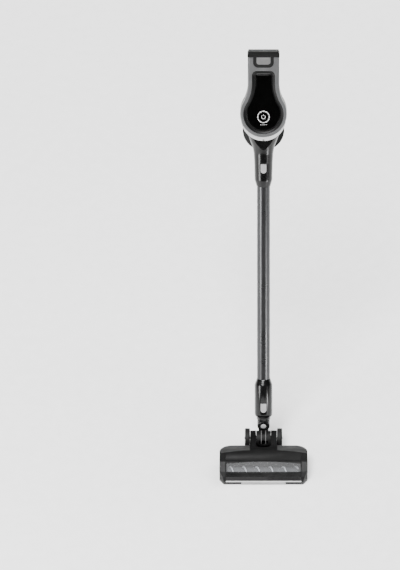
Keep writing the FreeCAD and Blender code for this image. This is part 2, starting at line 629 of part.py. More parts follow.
def head_plan(inset="0"):
    """Half-round rear corners, chamfered front corners."""
    side, rear = f"(head_half - {inset})", f"(head_rear_y - {inset})"
    bend = f"(corner_radius - {inset})"
    mid_x, mid_y = "(head_half - corner_radius)", "(head_rear_y - corner_radius)"
    front = f"(head_front_y + {inset})"
    return [(f"110 - {inset} * 0.5", front), (side, f"-38 + {inset} * 0.4"), (side, mid_y),
            (f"{mid_x}", f"{mid_y} + {bend}", mid_x, mid_y, 1),
            (f"-{mid_x}", f"{mid_y} + {bend}"),
            (f"-{side}", mid_y, f"-{mid_x}", mid_y, 1),
            (f"-{side}", f"-38 + {inset} * 0.4"), (f"-110 + {inset} * 0.5", front)]


def head_profile(inset="0"):
    """Side view: a blunt nose, the sloped window, a low ridge and the rear edge."""
    corners = [(-54, 0, 1, 1), (54, 0, -1, 1), (54, 46, -1, -0.8), (27, 53.5, 0, -1),
               (-16, 50.5, 0.2, -1.1), (-40, 35.5, 0.75, -0.9), (-50, 25, 0.9, -0.5),
               (-54, 14, 1, 0)]
    return [(f"{y} + {inset} * {dy}", f"{z} + {inset} * {dz}") for y, z, dy, dz in corners]


def recess_outline(spare="0"):
    """The U-shaped slot in which the elbow tilts."""
    half = f"(recess_half + {spare})"
    return [(half, "arm_rear + 10"), (f"-{half}", "arm_rear + 10"), (f"-{half}", "recess_y"),
            (half, "recess_y", "0", "recess_y", 1)]


SOLE_SCREWS = [("-66", "24"), ("66", "24"), ("-100", "34"), ("100", "34")]
TAIL_SCREWS = [("-29", "100"), ("29", "100")]
WINDOW_BAND = [("-42.7", "39.7"), ("-35.8", "28.7"), ("-11.8", "43.7"), ("-18.7", "54.7")]


def floor_head():
    # one shell, shared out among the cover, end caps, window, front band and sole
    outer = common(prism("z", head_plan(), "0", "60"),
                   prism("x", head_profile(), "-head_half - 1", "head_half + 1"))
    inner = common(prism("z", head_plan("shell_wall"), "-1", "61"),
                   prism("x", head_profile("shell_wall"), "-head_half - 1", "head_half + 1"))
    shell = cut(outer, inner)
    window = prism("x", WINDOW_BAND, "-cap_line", "cap_line")
    part("brush_window", common(shell, window))
    band = prism("x", [("-60", "13.2"), ("-35.8", "13.2"), ("-35.8", "28.7"), ("-42.7", "39.7"),
                       ("-60", "45")], "-cap_line", "cap_line")
    part("front_band", common(shell, band))
    for node, low, high in (("end_cap_left", "-head_half - 2", "-cap_line - 0.3"),
                            ("end_cap_right", "cap_line + 0.3", "head_half + 2")):
        part(node, common(shell, box((low, high), ("-60", "cap_back"), ("sole_top + 0.2", "60"))))
    cover_region = fuse(
        prism("x", [("-18.4", "60"), ("-18.4", "54.9"), ("-11.5", "43.9"), ("-11.5", "sole_top + 0.2"),
                    ("cap_back + 0.3", "sole_top + 0.2"), ("cap_back + 0.3", "60")],
              "-cap_line", "cap_line"),
        box(("-head_half - 2", "head_half + 2"), ("cap_back + 0.3", "60"), ("sole_top + 0.2", "60")))
    recess_wall = common(outer, prism("z", recess_outline("shell_wall"), "sole_top + 0.2", "60"))
    inner, rear = "(arm_half - arm_round)", "(arm_rear - arm_round)"
    arms = prism("z", [("arm_half", "head_rear_y - 2"), ("arm_half", rear),
                       (inner, "arm_rear", inner, rear, 1), (f"-{inner}", "arm_rear"),
                       ("-arm_half", rear, f"-{inner}", rear, 1),
                       ("-arm_half", "head_rear_y - 2")], "sole_top + 0.2", "arm_top")
    recess = prism("z", recess_outline(), "0", "70")
    hollows = [box((low, high), ("head_rear_y + 2", "arm_rear - 2.5"), ("5", "arm_top - 2.5"))
               for low, high in (("-arm_half + 2.5", "-recess_half - 2.5"),
                                 ("recess_half + 2.5", "arm_half - 2.5"))]
    trunnion_hole = cylinder("x", "trunnion_radius + pin_gap", ("tilt_y", "tilt_z"), "-25", "25")
    axle_hole = cylinder("x", "wheel_axle", ("wheel_y", "wheel_radius"), "-arm_half - 1",
                         "arm_half + 1")
    duct_hole = box(("-13.5", "13.5"), ("34", "50"), ("17", "39"))
    arms_open = cut(arms, *hollows)
    cover = cut(fuse(common(shell, cover_region), recess_wall, arms_open), recess, trunnion_hole,
                axle_hole, duct_hole)
    part("head_cover", cover)
    mouth = box(("-mouth_half", "mouth_half"), ("mouth_front", "mouth_back"), ("-1", "sole_top + 3"))
    base = common(shell, box(("-head_half - 2", "head_half + 2"), ("-60", "60"), ("-1", "sole_top")))
    tail = cut(box(("-arm_half + 0.3", "arm_half - 0.3"), ("head_rear_y - 3", "arm_rear - 2"),
                   ("5", "sole_top")), box(("-10", "10"), ("arm_rear - 9", "arm_rear"), ("0", "20")))
    walls = []
    for low, high in (("-103.4", "-99.6"), ("99.6", "103.4")):
        walls.append(cut(box((low, high), ("-39", "-8"), ("1", "29")),
                         cylinder("x", "8", ("brush_y", "brush_z"), "-110", "110")))
    wells = [box((f"{side} * caster_x - 5", f"{side} * caster_x + 5"),
                 ("caster_y - 7.5", "caster_y + 7.5"), ("-1", "8")) for side in (-1, 1)]
    hooks = []
    for side in (-1, 1):
        for low in ("-6.8", "5"):
            hooks.append(box((f"{side} * caster_x + {low}", f"{side} * caster_x + {low} + 1.8"),
                             ("caster_y - 4", "caster_y + 4"), ("1", "sole_top")))
    pins = [cylinder("x", "1.5", ("caster_y", "caster_radius"), f"{side} * caster_x - 8",
                     f"{side} * caster_x + 8") for side in (-1, 1)]
    seats = [cylinder("z", "5.5", spot, "0", "sole_top") for spot in SOLE_SCREWS]
    for spot, low in [(s, "0.4") for s in SOLE_SCREWS] + [(s, "5.3") for s in TAIL_SCREWS]:
        wells.append(cylinder("z", "3.45", spot, "-1", f"{low} + 2.05"))
        wells.append(cylinder("z", "1.65", spot, "-1", "sole_top + 1"))
    lip_slot = box(("-61", "61"), ("-60", "-51"), ("1.4", "sole_top + 1"))
    sole = cut(fuse(base, tail, *walls, *hooks, *seats), mouth, *wells, *pins, lip_slot)
    part("sole_plate", sole)
    part("front_lip", box(("-61", "61"), ("head_front_y - 0.6", "-51.4"), ("1.4", "sole_top - 0.2")))
    part("led_strip", cut(box(("-cap_line", "cap_line"), ("head_front_y - 0.2", "-50.8"),
                              ("sole_top + 0.2", "13")),
                          box(("-cap_line - 1", "-cap_line + 0.6"), ("-60", "-40"), ("0", "20"))))
    tunnel = cut(box(("-15.5", "15.5"), ("mouth_back + 1", "37"), ("14.5", "41")),
                 box(("-13.6", "13.6"), ("mouth_back", "38"), ("16.4", "39")))
    part("head_duct", tunnel)
    part("wheel_axles", group(*[cylinder("x", "wheel_axle", ("wheel_y", "wheel_radius"), low, high)
                                for low, high in (("-wheel_out - 2.4", "-arm_half + 2.5"),
                                                  ("arm_half - 2.5", "wheel_out + 2.4"))]))
    screws = []
    for spot, low in [(s, "0.4") for s in SOLE_SCREWS] + [(s, "5.3") for s in TAIL_SCREWS]:
        x, y = spot
        screw = fuse(cylinder("z", "3.4", spot, low, f"{low} + 2"),
                     cylinder("z", "1.6", spot, f"{low} + 1", "sole_top - 0.4"))
        screws.append(cut(screw, box((f"{x} - 0.5", f"{x} + 0.5"), (f"{y} - 2.4", f"{y} + 2.4"),
                                     ("-1", f"{low} + 0.9"))))
    part("head_screws", group(*screws))


def brush_drive():
    axis = ("brush_y", "brush_z")
    rings = [cut(cylinder("x", "8", axis, low, high),
                 cylinder("x", "brush_axle + pin_gap", axis, "-110", "110"))
             for low, high in (("-103.4", "-99.6"), ("99.6", "103.4"))]
    part("brush_bearings", group(*rings))
    pulley = fuse(cylinder("x", "pulley_radius", axis, "-112", "-105.5"),
                  cylinder("x", "pulley_radius + 1.4", axis, "-112.8", "-112"))
    roll = fuse(cylinder("x", "roll_radius", axis, "-brush_half", "brush_half"),
                cylinder("x", "brush_axle", axis, "-112.5", "103.4"), pulley)
    part("brush_roller", roll)
    body = doc.addObject("PartDesign::Body", "bristles")
    fin = sketch(body, "x", [("roll_radius", "0"), ("bristle_radius", "0"), ("bristle_radius", "3"),
                             ("roll_radius", "3")])
    plane = next(o for o in body.Origin.OriginFeatures if o.Role == "YZ_Plane")
    fin.AttachmentSupport = [(plane, "")]
    coil = body.newObject("PartDesign::AdditiveHelix", "coil")
    coil.Profile = fin
    coil.ReferenceAxis = (fin, ["V_Axis"])
    coil.Mode = "pitch-height-angle"
    bind(coil, Pitch="bristle_pitch", Height="2 * brush_half - 4")
    body.Placement.Rotation = FreeCAD.Rotation(Vector(0, 1, 0), 90)
    bind(body, Placement__Base__x="-brush_half", Placement__Base__y="brush_y",
         Placement__Base__z="brush_z")
    part("bristles", body)
    motor_axis = ("fan_motor_y", "fan_motor_z")
    part("brush_motor", cut(cylinder("x", "15", motor_axis, "-82", "-30"),
                            cylinder("x", "1.55", motor_axis, "-90", "-40")))
    part("drive_pulley", fuse(cylinder("x", "drive_radius", motor_axis, "-112", "-105.5"),
                              cylinder("x", "1.5", motor_axis, "-112", "-44")))
    part("drive_belt", belt())


def belt():
    """A flat band round both pulleys, clear of each by the running gap."""
    solid = doc.addObject("Part::Feature", "belt")
    size = {name: float(getattr(dims, name)) for name in DIMENSIONS}
    gap = 0.3
    centres = [Vector(0, size["brush_y"], size["brush_z"]),
               Vector(0, size["fan_motor_y"], size["fan_motor_z"])]
    radii = [size["pulley_radius"] + gap, size["drive_radius"] + gap]

    def loop(extra):
        """The hull of two circles, one round each pulley."""
        big, small = radii[0] + extra, radii[1] + extra
        along = (centres[1] - centres[0])
        reach = along.Length
        along.normalize()
        across = Vector(0, -along.z, along.y)
        lean = (big - small) / reach
        rise = math.sqrt(1 - lean ** 2)
        ends = []
        for side in (1, -1):
            away = along * lean + across * (rise * side)
            ends.append((centres[0] + away * big, centres[1] + away * small))
        back = centres[0] - along * big
        nose = centres[1] + along * small
        wire = Part.Wire([Part.Arc(ends[1][0], back, ends[0][0]).toShape(),
                          Part.LineSegment(ends[0][0], ends[0][1]).toShape(),
                          Part.Arc(ends[0][1], nose, ends[1][1]).toShape(),
                          Part.LineSegment(ends[1][1], ends[1][0]).toShape()])
        return Part.Face(wire)

    ring = loop(size["belt_thick"]).cut(loop(0))
    solid.Shape = ring.extrude(Vector(5, 0, 0))
    solid.Placement = FreeCAD.Placement(Vector(-111.3, 0, 0), FreeCAD.Rotation())
    return solid


def wheels():
    # the rear wheels stand on the floor, so their axle is one radius up
    for node, low, high in (("wheel_left", "-wheel_out", "-wheel_in"),
                            ("wheel_right", "wheel_in", "wheel_out")):
        axis = ("wheel_y", "wheel_radius")
        tyre = rounded(cylinder("x", "wheel_radius", axis, low, high), 2,
                       lambda p, e: e.Length > 100)
        outside = low if node == "wheel_left" else high
        dish = cut(cylinder("x", "wheel_radius - 6", axis, f"{outside} - 2.5", f"{outside} + 2.5"),
                   cylinder("x", "8", axis, f"{outside} - 4", f"{outside} + 4"))
        bore = cylinder("x", "wheel_axle + pin_gap", axis, "-60", "60")
        part(node, cut(tyre, dish, bore))
    for node, side in (("front_roller_left", -1), ("front_roller_right", 1)):
        centre = f"{side} * caster_x"
        axis = ("caster_y", "caster_radius")
        roller = fuse(cylinder("x", "caster_radius", axis, f"{centre} - 4.4", f"{centre} + 4.4"),
                      cylinder("x", "1.45", axis, f"{centre} - 6.8", f"{centre} + 6.8"))
        part(node, roller)


front_housing()
rear_housing()
front_details()
inlet_neck()
wand_button("wand_release_button", "729", "-25.7")
motor()
dust_cup()
cup_lid()
handle()
battery()
wand()
wand_button("head_release_button", "head_latch_top", "-25.3")
swivel()
elbow()
floor_head()
brush_drive()
wheels()
doc.recompute()

faults = [f"{o.Name}: {o.State}" for o in doc.Objects if {"Invalid", "Error"} & set(o.State)]
for obj in parts:
    if obj.Shape.isNull() or not obj.Shape.isValid() or obj.Shape.Volume < 1:
        faults.append(f"{obj.Label}: bad shape")
if faults:
    raise RuntimeError("; ".join(faults))

os.makedirs("parts", exist_ok=True)
for obj in parts:
    obj.Shape.exportStep(f"parts/{obj.Label}.step")
    print(f"{obj.Label}: {len(obj.Shape.Solids)} solid(s), {obj.Shape.Volume / 1000:.2f} cm3")
print(len(parts), "nodes")
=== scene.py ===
"""Looks for the cordless stick vacuum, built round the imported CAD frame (metres, +Z up)."""
import bpy
import json
import math
from mathutils import Matrix, Vector


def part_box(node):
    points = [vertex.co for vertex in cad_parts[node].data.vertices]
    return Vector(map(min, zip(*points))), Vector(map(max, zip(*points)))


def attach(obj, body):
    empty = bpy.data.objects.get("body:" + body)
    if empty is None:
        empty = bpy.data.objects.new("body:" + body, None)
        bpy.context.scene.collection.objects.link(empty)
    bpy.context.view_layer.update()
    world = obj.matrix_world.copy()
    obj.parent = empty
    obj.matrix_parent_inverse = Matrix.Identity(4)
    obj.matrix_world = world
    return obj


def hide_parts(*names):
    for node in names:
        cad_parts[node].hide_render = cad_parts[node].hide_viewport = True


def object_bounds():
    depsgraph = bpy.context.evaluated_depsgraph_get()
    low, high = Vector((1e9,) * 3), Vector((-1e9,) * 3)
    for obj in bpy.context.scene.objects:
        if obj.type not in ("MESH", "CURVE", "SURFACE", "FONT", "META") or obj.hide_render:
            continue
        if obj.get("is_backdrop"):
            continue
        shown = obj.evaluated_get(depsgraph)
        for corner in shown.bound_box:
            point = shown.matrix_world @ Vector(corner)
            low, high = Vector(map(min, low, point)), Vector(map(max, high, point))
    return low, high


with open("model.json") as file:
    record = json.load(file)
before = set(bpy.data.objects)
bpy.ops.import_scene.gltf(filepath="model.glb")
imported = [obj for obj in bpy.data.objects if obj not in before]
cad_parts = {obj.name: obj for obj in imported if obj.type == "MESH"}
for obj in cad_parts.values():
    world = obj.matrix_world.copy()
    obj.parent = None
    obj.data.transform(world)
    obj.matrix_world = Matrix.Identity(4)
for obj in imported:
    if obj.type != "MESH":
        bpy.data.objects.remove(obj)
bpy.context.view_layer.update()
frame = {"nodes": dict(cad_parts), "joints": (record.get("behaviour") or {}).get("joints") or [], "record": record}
NODES = frame["nodes"]
JOINTS = {joint["name"]: joint for joint in frame["joints"]}
MM = 0.001

# ---- stick frame: z up the stick, -y its front face ----------------------------------------------
PIVOT = Vector(JOINTS["head_swivel"]["pos_m"])
UP = Vector(JOINTS["battery_slide"]["axis"]).normalized()
LEAN = math.atan2(UP.y, UP.z)
STICK = Matrix.Translation(PIVOT) @ Matrix.Rotation(-LEAN, 4, "X")
HOME = Matrix.Identity(4)
TO_STICK = STICK.inverted()


def stick_box(node):
    """Lowest and highest corner of a CAD node in the stick frame, in millimetres."""
    corners = [TO_STICK @ v.co for v in NODES[node].data.vertices]
    low = Vector(min(c[i] for c in corners) for i in range(3)) / MM
    high = Vector(max(c[i] for c in corners) for i in range(3)) / MM
    return low, high


def home_box(node):
    """Lowest and highest corner of a CAD node in the row frame, in millimetres."""
    low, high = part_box(node)
    return low / MM, high / MM


# ---- materials -----------------------------------------------------------------------------------
class Nodes:
    """A small helper to write one material's node tree."""

    def __init__(self, name):
        self.material = bpy.data.materials.new(name)
        self.material.use_nodes = True
        self.tree = self.material.node_tree
        self.shader = self.tree.nodes["Principled BSDF"]
        self.output = self.tree.nodes["Material Output"]
        self.coords = self.tree.nodes.new("ShaderNodeTexCoord").outputs["Object"]

    def new(self, kind, **settings):
        node = self.tree.nodes.new(kind)
        for key, value in settings.items():
            setattr(node, key, value)
        return node

    def put(self, socket, value):
        if hasattr(value, "is_output"):
            self.tree.links.new(value, socket)
        else:
            socket.default_value = value

    def math(self, operation, a, b=0.0, clamp=False):
        node = self.new("ShaderNodeMath", operation=operation, use_clamp=clamp)
        self.put(node.inputs[0], a)
        self.put(node.inputs[1], b)
        return node.outputs[0]

    def mapped(self, turn=0.0, scale=(1, 1, 1), shift=(0, 0, 0)):
        node = self.new("ShaderNodeMapping")
        self.put(node.inputs["Vector"], self.coords)
        node.inputs["Location"].default_value = shift
        node.inputs["Rotation"].default_value = (turn, 0, 0)
        wide = self.new("ShaderNodeMapping")
        self.put(wide.inputs["Vector"], node.outputs[0])
        wide.inputs["Scale"].default_value = scale
        return wide.outputs[0]

    def noise(self, vector, scale, detail=3.0, rough=0.55):
        node = self.new("ShaderNodeTexNoise")
        self.put(node.inputs["Vector"], vector)
        node.inputs["Scale"].default_value = scale
        node.inputs["Detail"].default_value = detail
        node.inputs["Roughness"].default_value = rough
        return node.outputs["Fac"]

    def spread(self, value, low, high, start=0.3, end=0.7):
        node = self.new("ShaderNodeMapRange")
        self.put(node.inputs["Value"], value)
        for name, number in (("From Min", start), ("From Max", end), ("To Min", low),
                             ("To Max", high)):
            node.inputs[name].default_value = number
        return node.outputs[0]

    def ramp(self, value, *stops):
        node = self.new("ShaderNodeValToRGB")
        self.put(node.inputs["Fac"], value)
        items = node.color_ramp.elements
        items[0].position, items[0].color = stops[0][0], (*stops[0][1], 1)
        items[1].position, items[1].color = stops[-1][0], (*stops[-1][1], 1)
        for place, color in stops[1:-1]:
            item = items.new(place)
            item.color = (*color, 1)
        return node.outputs["Color"]

    def bump(self, height, distance, strength=1.0, under=None):
        node = self.new("ShaderNodeBump")
        self.put(node.inputs["Height"], height)
        node.inputs["Distance"].default_value = distance
        node.inputs["Strength"].default_value = strength
        if under is not None:
            self.put(node.inputs["Normal"], under)
        return node.outputs["Normal"]

    def set(self, **values):
        for name, value in values.items():
            self.put(self.shader.inputs[name.replace("_", " ")], value)


def grey(value, tint=(1, 1, 1)):
    """A tinted grey as red, green and blue."""
    return tuple(value * t for t in tint)


def moulded(name, tones, rough, grain=900, depth=0.00002, coat=0.0, metal=0.0, tint=(1, 1, 1),
            turn=0.0, stretch=(1, 1, 1), mottle=45, spec=0.5):
    """Moulded, painted or brushed surface: mottled colour, uneven gloss and a fine grain."""
    n = Nodes(name)
    vector = n.mapped(turn, stretch)
    broad = n.noise(vector, mottle, 4)
    grains = n.noise(vector, grain, 2)
    smudge = n.noise(n.mapped(turn), 14, 5, 0.7)
    tone = n.math("ADD", n.math("MULTIPLY", broad, 0.6), n.math("MULTIPLY", grains, 0.4))
    color = n.ramp(tone, (0.32, grey(tones[0], tint)), (0.68, grey(tones[1], tint)))
    n.set(Base_Color=color, Metallic=metal, Roughness=n.spread(smudge, rough[0], rough[1]),
          Normal=n.bump(grains, depth, 0.5), Coat_Weight=coat, Coat_Roughness=0.06,
          Specular_IOR_Level=spec)
    return n


# Each finish: darkest and lightest tone, least and most roughness, grains per metre and the
# grain's depth in metres.
FINISHES = {
    "satin_grey": dict(tones=(0.070, 0.090), rough=(0.34, 0.46), grain=1500, depth=0.00001,
                       coat=0.05, metal=0.3, tint=(1, 1.01, 1.03), spec=0.4),
    "dark_shell": dict(tones=(0.012, 0.02), rough=(0.36, 0.52), grain=1100, depth=0.00003,
                       spec=0.35),
    "gloss_black": dict(tones=(0.0016, 0.0032), rough=(0.16, 0.26), grain=700, depth=0.000004,
                        spec=0.3),
    "glass_black": dict(tones=(0.0004, 0.001), rough=(0.10, 0.18), grain=300, depth=0.000002,
                        spec=0.12),
    "cap_black": dict(tones=(0.0045, 0.008), rough=(0.5, 0.62), spec=0.12),
    "head_dark": dict(tones=(0.0025, 0.0048), rough=(0.45, 0.6), grain=1100, depth=0.00003,
                      spec=0.10),
    "head_cheek": dict(tones=(0.0035, 0.0065), rough=(0.4, 0.52), grain=1100, spec=0.13),
    # The shoulders get the head's dark plastic in a lighter tone: painted sheen where the rear slope catches the
    # light.
    "head_shoulder_painted_sheen": dict(tones=(0.020, 0.034), rough=(0.36, 0.48), grain=1100, spec=0.35),
    "bezel_dark": dict(tones=(0.0035, 0.006), rough=(0.32, 0.42), depth=0.000006, spec=0.16),
    "bright_trim": dict(tones=(0.55, 0.72), rough=(0.12, 0.22), grain=500, depth=0.000002,
                        metal=0.35),
    "steel": dict(tones=(0.38, 0.55), rough=(0.25, 0.42), grain=800, depth=0.00001, metal=1.0,
                  stretch=(0.1, 1, 1)),
    "light_key": dict(tones=(0.22, 0.30), rough=(0.36, 0.5), grain=1300, metal=0.1),
    "grey_key": dict(tones=(0.085, 0.115), rough=(0.36, 0.5), grain=1300, metal=0.1),
    "white_part": dict(tones=(0.34, 0.42), rough=(0.4, 0.55)),
    "seal_rubber": dict(tones=(0.008, 0.014), rough=(0.62, 0.8), grain=1400, depth=0.00005,
                        spec=0.2),
    "wheel_tyre": dict(tones=(0.005, 0.010), rough=(0.55, 0.75), grain=1100, depth=0.00006,
                       spec=0.2),
    "tube_metal": dict(tones=(0.036, 0.066), rough=(0.24, 0.36), grain=1600, depth=0.000006,
                       metal=0.85, tint=(1, 1.01, 1.04), turn=LEAN, stretch=(1, 1, 0.012),
                       mottle=700),
    "board": dict(tones=(0.03, 0.08), rough=(0.35, 0.5), grain=700, depth=0.00003,
                  tint=(0.3, 1, 0.5)),
    "cell_wrap": dict(tones=(0.16, 0.22), rough=(0.25, 0.4), grain=400, depth=0.00001,
                      tint=(0.2, 0.8, 1)),
    "tuft": dict(tones=(0.55, 0.85), rough=(0.6, 0.8), grain=2500, depth=0.0002, mottle=900,
                 stretch=(1, 0.15, 0.15)),
    "roller_core": dict(tones=(0.07, 0.11), rough=(0.6, 0.8), grain=2200, depth=0.0003),
    "glyph_light": dict(tones=(0.5, 0.62), rough=(0.3, 0.5), depth=0.000005),
}


def pleated_cloth():
    """Filter cloth folded into pleats round the filter's own axis."""
    n = Nodes("filter_cloth")
    x, _, z = local_axes(n, "hepa_filter")
    pleat_count = 44
    pleats = n.math("SINE", n.math("MULTIPLY", n.math("ARCTAN2", z, x), pleat_count))
    fibre = n.noise(n.mapped(LEAN), 1800, 3)
    n.set(Base_Color=n.ramp(n.math("ADD", fibre, n.math("MULTIPLY", pleats, 0.15)),
                            (0.25, (0.42, 0.42, 0.39)), (0.75, (0.72, 0.72, 0.68))),
          Roughness=n.spread(fibre, 0.8, 0.95), Normal=n.bump(pleats, 0.0012))
    return n


def punched_steel():
    """Steel sheet with rows of small round holes, wrapped round the mesh's own axis."""
    n = Nodes("mesh_steel")
    x, y, z = local_axes(n, "cyclone_mesh")
    sheet_radius, holes_per_metre = 0.021, 620
    around = n.math("MULTIPLY", n.math("ARCTAN2", z, x), sheet_radius)
    plane = n.new("ShaderNodeCombineXYZ")
    n.put(plane.inputs[0], around)
    n.put(plane.inputs[1], y)
    dots = n.new("ShaderNodeTexVoronoi", feature="F1")
    n.put(dots.inputs["Vector"], plane.outputs[0])
    dots.inputs["Scale"].default_value = holes_per_metre
    dots.inputs["Randomness"].default_value = 0.15
    hole = n.spread(dots.outputs["Distance"], 0, 1, 0.26, 0.34)
    n.set(Base_Color=n.ramp(hole, (0.1, (0.01, 0.01, 0.01)), (0.9, (0.5, 0.5, 0.5))),
          Metallic=n.spread(hole, 0, 1, 0.2, 0.8), Roughness=n.spread(hole, 0.9, 0.32, 0, 1),
          Normal=n.bump(hole, 0.0003))
    return n


def clear_plastic(name, tint, rough, share, tone):
    """See-through plastic: share of the light is stopped face on, and more of it at the edges."""
    n = moulded(name, (tone, tone * 1.3), (rough, rough + 0.08), 300, 0.000001, spec=0.3)
    fine = n.noise(n.mapped(), 60, 4)
    clear = n.new("ShaderNodeBsdfTransparent")
    n.put(clear.inputs["Color"], n.ramp(fine, (0.3, tint), (0.7, grey(1.08, tint))))
    mix = n.new("ShaderNodeMixShader")
    edge = n.new("ShaderNodeLayerWeight")
    edge.inputs["Blend"].default_value = 0.25
    n.put(mix.inputs[0], n.math("ADD", n.math("MULTIPLY", edge.outputs["Facing"], 0.45), share,
                                True))
    n.put(mix.inputs[1], clear.outputs[0])
    n.put(mix.inputs[2], n.shader.outputs[0])
    n.put(n.output.inputs["Surface"], mix.outputs[0])
    return n


def lamp_strip():
    """Diffuser that glows faintly, brighter over each lamp behind it."""
    n = moulded("lamp", (0.42, 0.52), (0.25, 0.4), 900, 0.00001)
    lamp_pitch = 0.0104
    split = n.new("ShaderNodeSeparateXYZ")
    n.put(split.inputs[0], n.coords)
    glow = n.math("SINE", n.math("MULTIPLY", split.outputs[0], 2 * math.pi / lamp_pitch))
    n.set(Emission_Color=n.ramp(n.spread(glow, 0, 1, -1, 1), (0.1, (0.75, 0.8, 0.86)),
                                (0.9, (1, 1, 1))), Emission_Strength=0.06)
    return n


def make_materials():
    made = {name: moulded(name, **finish) for name, finish in FINISHES.items()}
    made["filter_cloth"] = pleated_cloth()
    made["mesh_steel"] = punched_steel()
    made["smoke_clear"] = clear_plastic("smoke_clear", (0.70, 0.72, 0.75), 0.05, 0.22, 0.10)
    made["window_tint"] = clear_plastic("window_tint", (0.92, 0.93, 0.95), 0.3, 0.22, 0.05)
    made["lamp"] = lamp_strip()
    return {name: item.material for name, item in made.items()}


def local_axes(n, node):
    """x, y and z of a shading point in the stick frame, from the middle of a CAD node."""
    low, high = stick_box(node)
    middle = STICK @ ((low + high) / 2 * MM)
    moved = n.new("ShaderNodeVectorMath", operation="SUBTRACT")
    n.put(moved.inputs[0], n.coords)
    moved.inputs[1].default_value = middle
    turned = n.new("ShaderNodeVectorRotate", rotation_type="X_AXIS")
    n.put(turned.inputs["Vector"], moved.outputs[0])
    turned.inputs["Angle"].default_value = LEAN
    split = n.new("ShaderNodeSeparateXYZ")
    n.put(split.inputs[0], turned.outputs[0])
    return split.outputs[0], split.outputs[1], split.outputs[2]


MATERIALS = make_materials()
SLOTS = {item["node"]: item["material_slot"] for item in frame["record"]["subparts"]}

# ---- CAD nodes: finishes and softened edges ------------------------------------------------------
BEVELS = {"front_housing": 0.5, "rear_housing": 0.5, "battery_cap": 0.5, "head_cover": 0.9,
          "end_cap_left": 0.9, "end_cap_right": 0.9, "sole_plate": 0.4, "front_band": 0.5,
          "brush_window": 0.5, "chrome_trim": 0.5, "inlet_neck": 0.6, "wand_collar": 0.8,
          "connector_neck": 0.6, "elbow_duct": 0.8, "pivot_cap": 0.3, "cup_lid": 0.8,
          "dust_cup": 0.3, "handle_left": 0.3, "handle_right": 0.3, "trigger": 0.5,
          "mode_button": 0.5, "battery_button": 0.6, "wand_release_button": 0.5,
          "head_release_button": 0.5, "cup_latch": 0.5, "grip_insert": 0.4, "front_lip": 0.3,
          "led_strip": 0.2, "cyclone_head": 0.4, "battery_case": 0.4}
LOOKS = {"cyclone_mesh": "mesh_steel", "battery_cap": "cap_black", "head_cover": "head_dark",
         "end_cap_left": "head_cheek", "end_cap_right": "head_cheek", "brush_roller": "roller_core",
         "battery_button": "grey_key", "elbow_duct": "cap_black"}
SHARP = math.radians(38)


def soften(obj, width):
    """Rounds the sharp edges to a width in millimetres."""
    bevel = obj.modifiers.new("edges", "BEVEL")
    bevel.width = width * MM
    bevel.segments = 2
    bevel.limit_method = "ANGLE"
    bevel.angle_limit = SHARP
    bevel.harden_normals = True


for node, obj in NODES.items():
    obj.data.materials.clear()
    obj.data.materials.append(MATERIALS[LOOKS.get(node, SLOTS[node])])
    if node in BEVELS:
        weld = obj.modifiers.new("weld", "WELD")
        weld.merge_threshold = 0.02 * MM
        soften(obj, BEVELS[node])


# ---- mesh helpers --------------------------------------------------------------------------------
def build(name, points, faces, body, slot, place=STICK, look=None, bevel=0.0, stands_for=()):
    """A named piece from points in millimetres, in the stick frame unless another is given."""
    data = bpy.data.meshes.new(name)
    data.from_pydata([place @ (Vector(p) * MM) for p in points], [], faces)
    data.validate()
    obj = bpy.data.objects.new(name, data)
    bpy.context.scene.collection.objects.link(obj)
    bpy.context.view_layer.objects.active = obj
    bpy.ops.object.select_all(action="DESELECT")
    obj.select_set(True)
    bpy.ops.object.mode_set(mode="EDIT")
    bpy.ops.mesh.select_all(action="SELECT")
    bpy.ops.mesh.normals_make_consistent(inside=False)
    bpy.ops.object.mode_set(mode="OBJECT")
    bpy.ops.object.shade_smooth_by_angle(angle=SHARP)
    if bevel:
        soften(obj, bevel)
    data.materials.append(MATERIALS[look or slot])
    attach(obj, body)
    if stands_for:
        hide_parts(*stands_for)
    return obj


def rings_mesh(rings, closed=True, caps=(True, True)):
    """Points and faces of a skin over rings that all have the same number of points."""
    count = len(rings[0])
    points = [p for ring in rings for p in ring]
    faces = []
    for level in range(len(rings) - 1):
        for i in range(count if closed else count - 1):
            j = (i + 1) % count
            a, b = level * count, (level + 1) * count
            faces.append((a + i, a + j, b + j, b + i))
    if caps[0]:
        faces.append(tuple(range(count))[::-1])
    if caps[1]:
        faces.append(tuple(range((len(rings) - 1) * count, len(rings) * count)))
    return points, faces


def lathe(profile, axis, centre, steps=96):
    """A profile of (radius, distance along the axis) turned about x, y or z through centre."""
    rings = []
    for radius, along in profile:
        ring = []
        for i in range(steps):
            t = 2 * math.pi * i / steps
            a, b = radius * math.cos(t), radius * math.sin(t)
            offset = {"x": (along, a, b), "y": (a, along, b), "z": (a, b, along)}[axis]
            ring.append(tuple(c + o for c, o in zip(centre, offset)))
        rings.append(ring)
    rings.append(rings[0])
    return rings_mesh(rings, caps=(False, False))


# Faces of a box whose 8 points run through its last direction first.
BOX_FACES = [(0, 1, 3, 2), (4, 6, 7, 5), (0, 4, 5, 1), (2, 3, 7, 6), (0, 2, 6, 4), (1, 5, 7, 3)]


def block(low, high):
    """Points and faces of a box."""
    points = [(x, y, z) for x in (low[0], high[0]) for y in (low[1], high[1])
              for z in (low[2], high[2])]
    return points, BOX_FACES


def joined(parts):
    """Several (points, faces) pairs as one."""
    points, faces = [], []
    for more_points, more_faces in parts:
        start = len(points)
        points += more_points
        faces += [tuple(start + i for i in face) for face in more_faces]
    return points, faces


